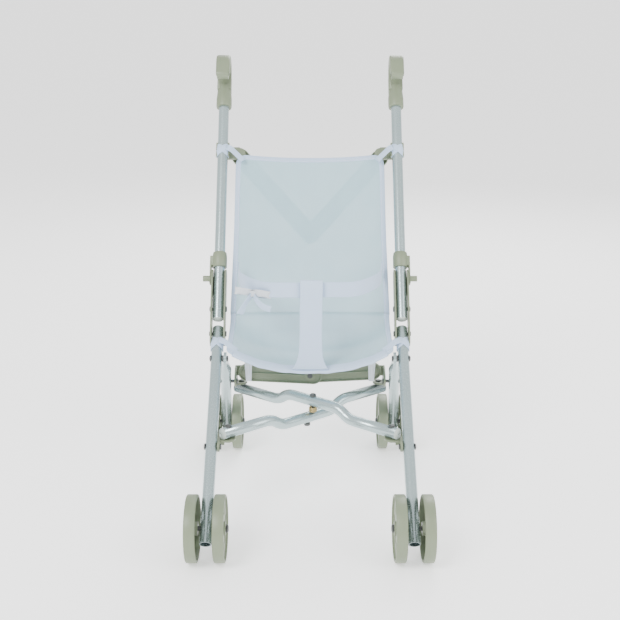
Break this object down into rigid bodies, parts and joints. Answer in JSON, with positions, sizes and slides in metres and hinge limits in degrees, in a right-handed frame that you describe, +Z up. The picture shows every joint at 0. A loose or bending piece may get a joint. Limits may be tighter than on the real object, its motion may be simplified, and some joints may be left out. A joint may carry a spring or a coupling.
{
  "type": "doll stroller",
  "caption": "Folding doll stroller: two side frames of metal tube on paired wheels, crossed lower tubes, hinged handles with hook grips, and a fabric sling seat.",
  "frame": {"origin": "on the floor, under the middle of the front wheels' line, halfway between the two side frames", "axes": "+Z up, -Y the way it rolls, +X to the right of someone who looks at its front"},
  "size_m": [0.2676, 0.4347, 0.5022],
  "materials": {
    "tube_metal": "silver paint, satin, with a slight blue-green cast",
    "sage_plastic": "grey-green moulded plastic, fine satin",
    "dark_steel": "rivets, bolts and axles",
    "grey_plug": "pale grey tube plugs",
    "spring_brass": "coil spring wire",
    "mesh_fabric": "pale blue-grey woven sheet",
    "strap_fabric": "pale lavender-blue webbing and binding",
    "tie_fabric": "white tape"
  },
  "bodies": {
    "left_frame": {"left_front_leg": "tube_metal", "left_fold_channel": "sage_plastic", "left_frame_rivets": "dark_steel", "left_front_axle": "dark_steel", "seat_panel_left": "mesh_fabric", "crotch_strap": "strap_fabric", "left_seat_tie": "tie_fabric"},
    "left_rear_leg": {"left_rear_leg": "tube_metal", "left_rear_axle": "dark_steel"},
    "left_handle": {"left_handle_tube": "tube_metal", "left_handle_plug": "grey_plug", "left_grip": "sage_plastic", "left_brace_bracket": "sage_plastic", "back_panel_left": "mesh_fabric", "waist_strap_left": "strap_fabric"},
    "left_lock_ring": {"left_lock_ring": "sage_plastic"},
    "left_upper_arm": {"left_upper_arm": "sage_plastic", "upper_brace_rivet": "dark_steel"},
    "left_front_bracket": {"left_front_bracket": "sage_plastic", "left_front_pin": "dark_steel"},
    "left_rear_bracket": {"left_rear_bracket": "sage_plastic", "left_rear_pins": "dark_steel"},
    "left_lower_arm": {"left_lower_arm": "sage_plastic", "lower_brace_rivet": "dark_steel"},
    "right_frame": {"right_front_leg": "tube_metal", "right_fold_channel": "sage_plastic", "right_frame_rivets": "dark_steel", "right_front_axle": "dark_steel", "seat_panel_right": "mesh_fabric", "right_seat_tie": "tie_fabric"},
    "right_rear_leg": {"right_rear_leg": "tube_metal", "right_rear_axle": "dark_steel"},
    "right_handle": {"right_handle_tube": "tube_metal", "right_handle_plug": "grey_plug", "right_grip": "sage_plastic", "right_brace_bracket": "sage_plastic", "back_panel_right": "mesh_fabric", "waist_strap_right": "strap_fabric"},
    "right_lock_ring": {"right_lock_ring": "sage_plastic"},
    "right_upper_arm": {"right_upper_arm": "sage_plastic"},
    "right_front_bracket": {"right_front_bracket": "sage_plastic", "right_front_pin": "dark_steel"},
    "right_rear_bracket": {"right_rear_bracket": "sage_plastic", "right_rear_pins": "dark_steel"},
    "right_lower_arm": {"right_lower_arm": "sage_plastic"},
    "upper_cross_tube": {"cross_tube_upper": "tube_metal", "upper_tube_plugs": "grey_plug", "centre_bolt": "dark_steel", "centre_spring": "spring_brass"},
    "lower_cross_tube": {"cross_tube_lower": "tube_metal", "lower_tube_plugs": "grey_plug", "centre_nut": "dark_steel"},
    "front_wheel_1": {"front_wheel_1": "sage_plastic"},
    "front_wheel_2": {"front_wheel_2": "sage_plastic"},
    "front_wheel_3": {"front_wheel_3": "sage_plastic"},
    "front_wheel_4": {"front_wheel_4": "sage_plastic"},
    "rear_wheel_1": {"rear_wheel_1": "sage_plastic"},
    "rear_wheel_2": {"rear_wheel_2": "sage_plastic"},
    "rear_wheel_3": {"rear_wheel_3": "sage_plastic"},
    "rear_wheel_4": {"rear_wheel_4": "sage_plastic"}
  },
  "joints": [
    {"name": "frame_fold", "type": "hinge", "parent": "left_frame", "child": "left_rear_leg", "pos_m": [-0.0995, 0.16785, 0.16714], "axis": [1, 0, 0], "range_deg": [0, 46], "deforming": ["seat_panel_left", "seat_panel_right", "back_panel_left", "back_panel_right", "crotch_strap", "waist_strap_left", "waist_strap_right", "left_seat_tie", "right_seat_tie"]},
    {"name": "side_closing", "type": "slide", "parent": "left_frame", "child": "right_frame", "axis": [-1, 0, 0], "range_m": [0, 0.0353]},
    {"name": "right_rear_leg_fold", "type": "hinge", "parent": "right_frame", "child": "right_rear_leg", "pos_m": [0.0995, 0.16785, 0.16714], "axis": [1, 0, 0], "range_deg": [0, 46.1]},
    {"name": "left_front_bracket_tilt", "type": "hinge", "parent": "left_frame", "child": "left_front_bracket", "pos_m": [-0.1, 0.07644, 0.09572], "axis": [1, 0, 0], "range_deg": [-0.1, 21]},
    {"name": "left_rear_bracket_tilt", "type": "hinge", "parent": "left_rear_leg", "child": "left_rear_bracket", "pos_m": [-0.095, 0.207, 0.124], "axis": [1, 0, 0], "range_deg": [-41, 0.1]},
    {"name": "left_lower_arm_fold", "type": "hinge", "parent": "left_rear_bracket", "child": "left_lower_arm", "pos_m": [-0.077, 0.216, 0.133], "axis": [0, 1, 0], "range_deg": [-44, 44]},
    {"name": "right_front_bracket_tilt", "type": "hinge", "parent": "right_frame", "child": "right_front_bracket", "pos_m": [0.1, 0.07644, 0.09572], "axis": [1, 0, 0], "range_deg": [-0.1, 21]},
    {"name": "right_rear_bracket_tilt", "type": "hinge", "parent": "right_rear_leg", "child": "right_rear_bracket", "pos_m": [0.095, 0.207, 0.124], "axis": [1, 0, 0], "range_deg": [-41, 0.1]},
    {"name": "right_lower_arm_fold", "type": "hinge", "parent": "right_rear_bracket", "child": "right_lower_arm", "pos_m": [0.077, 0.216, 0.133], "axis": [0, 1, 0], "range_deg": [-44, 44]},
    {"name": "lower_cross_tube_turn", "type": "hinge", "parent": "left_front_bracket", "child": "lower_cross_tube", "pos_m": [-0.092, 0.093, 0.106], "axis": [0, 0, 1], "range_deg": [-1, 15]},
    {"name": "upper_cross_tube_turn", "type": "hinge", "parent": "right_front_bracket", "child": "upper_cross_tube", "pos_m": [0.092, 0.093, 0.106], "axis": [0, 0, 1], "range_deg": [-15, 1]},
    {"name": "handle_fold", "type": "hinge", "parent": "left_frame", "child": "left_handle", "pos_m": [-0.11, 0.20888, 0.21533], "axis": [1, 0, 0], "range_deg": [0, 150]},
    {"name": "right_handle_closing", "type": "slide", "parent": "left_handle", "child": "right_handle", "axis": [-1, 0, 0], "range_m": [0, 0.0353]},
    {"name": "left_upper_arm_fold", "type": "hinge", "parent": "left_handle", "child": "left_upper_arm", "pos_m": [-0.089, 0.34711, 0.37613], "axis": [0, -0.8192, 0.5736], "range_deg": [-10, 10]},
    {"name": "left_lock_slide", "type": "slide", "parent": "left_handle", "child": "left_lock_ring", "axis": [0, 0.5736, 0.8192], "range_m": [0, 0.02]},
    {"name": "right_upper_arm_fold", "type": "hinge", "parent": "right_handle", "child": "right_upper_arm", "pos_m": [0.089, 0.34711, 0.37613], "axis": [0, -0.8192, 0.5736], "range_deg": [-10, 10]},
    {"name": "right_lock_slide", "type": "slide", "parent": "right_handle", "child": "right_lock_ring", "axis": [0, 0.5736, 0.8192], "range_m": [0, 0.02]},
    {"name": "front_wheel_1_spin", "type": "hinge", "parent": "left_frame", "child": "front_wheel_1", "pos_m": [-0.1248, 0, 0.036], "axis": [1, 0, 0], "continuous": true},
    {"name": "rear_wheel_1_spin", "type": "hinge", "parent": "left_rear_leg", "child": "rear_wheel_1", "pos_m": [-0.1248, 0.29, 0.036], "axis": [1, 0, 0], "continuous": true},
    {"name": "front_wheel_2_spin", "type": "hinge", "parent": "left_frame", "child": "front_wheel_2", "pos_m": [-0.0952, 0, 0.036], "axis": [1, 0, 0], "continuous": true},
    {"name": "rear_wheel_2_spin", "type": "hinge", "parent": "left_rear_leg", "child": "rear_wheel_2", "pos_m": [-0.0952, 0.29, 0.036], "axis": [1, 0, 0], "continuous": true},
    {"name": "front_wheel_3_spin", "type": "hinge", "parent": "right_frame", "child": "front_wheel_3", "pos_m": [0.0952, 0, 0.036], "axis": [1, 0, 0], "continuous": true},
    {"name": "rear_wheel_3_spin", "type": "hinge", "parent": "right_rear_leg", "child": "rear_wheel_3", "pos_m": [0.0952, 0.29, 0.036], "axis": [1, 0, 0], "continuous": true},
    {"name": "front_wheel_4_spin", "type": "hinge", "parent": "right_frame", "child": "front_wheel_4", "pos_m": [0.1248, 0, 0.036], "axis": [1, 0, 0], "continuous": true},
    {"name": "rear_wheel_4_spin", "type": "hinge", "parent": "right_rear_leg", "child": "rear_wheel_4", "pos_m": [0.1248, 0.29, 0.036], "axis": [1, 0, 0], "continuous": true}
  ],
  "couplings": [
    {"joint": "side_closing", "follows": "frame_fold", "m_per_rad": 0.038044},
    {"joint": "right_rear_leg_fold", "follows": "frame_fold", "ratio": 1},
    {"joint": "left_front_bracket_tilt", "follows": "frame_fold", "ratio": 0.32},
    {"joint": "left_rear_bracket_tilt", "follows": "frame_fold", "ratio": -0.68},
    {"joint": "left_lower_arm_fold", "follows": "frame_fold", "ratio": 0.69},
    {"joint": "right_front_bracket_tilt", "follows": "frame_fold", "ratio": 0.32},
    {"joint": "right_rear_bracket_tilt", "follows": "frame_fold", "ratio": -0.68},
    {"joint": "right_lower_arm_fold", "follows": "frame_fold", "ratio": -0.69},
    {"joint": "lower_cross_tube_turn", "follows": "frame_fold", "ratio": 0.25},
    {"joint": "upper_cross_tube_turn", "follows": "frame_fold", "ratio": -0.25},
    {"joint": "right_handle_closing", "follows": "frame_fold", "m_per_rad": 0.038044},
    {"joint": "left_upper_arm_fold", "follows": "frame_fold", "ratio": -0.17},
    {"joint": "right_upper_arm_fold", "follows": "frame_fold", "ratio": 0.17}
  ]
}
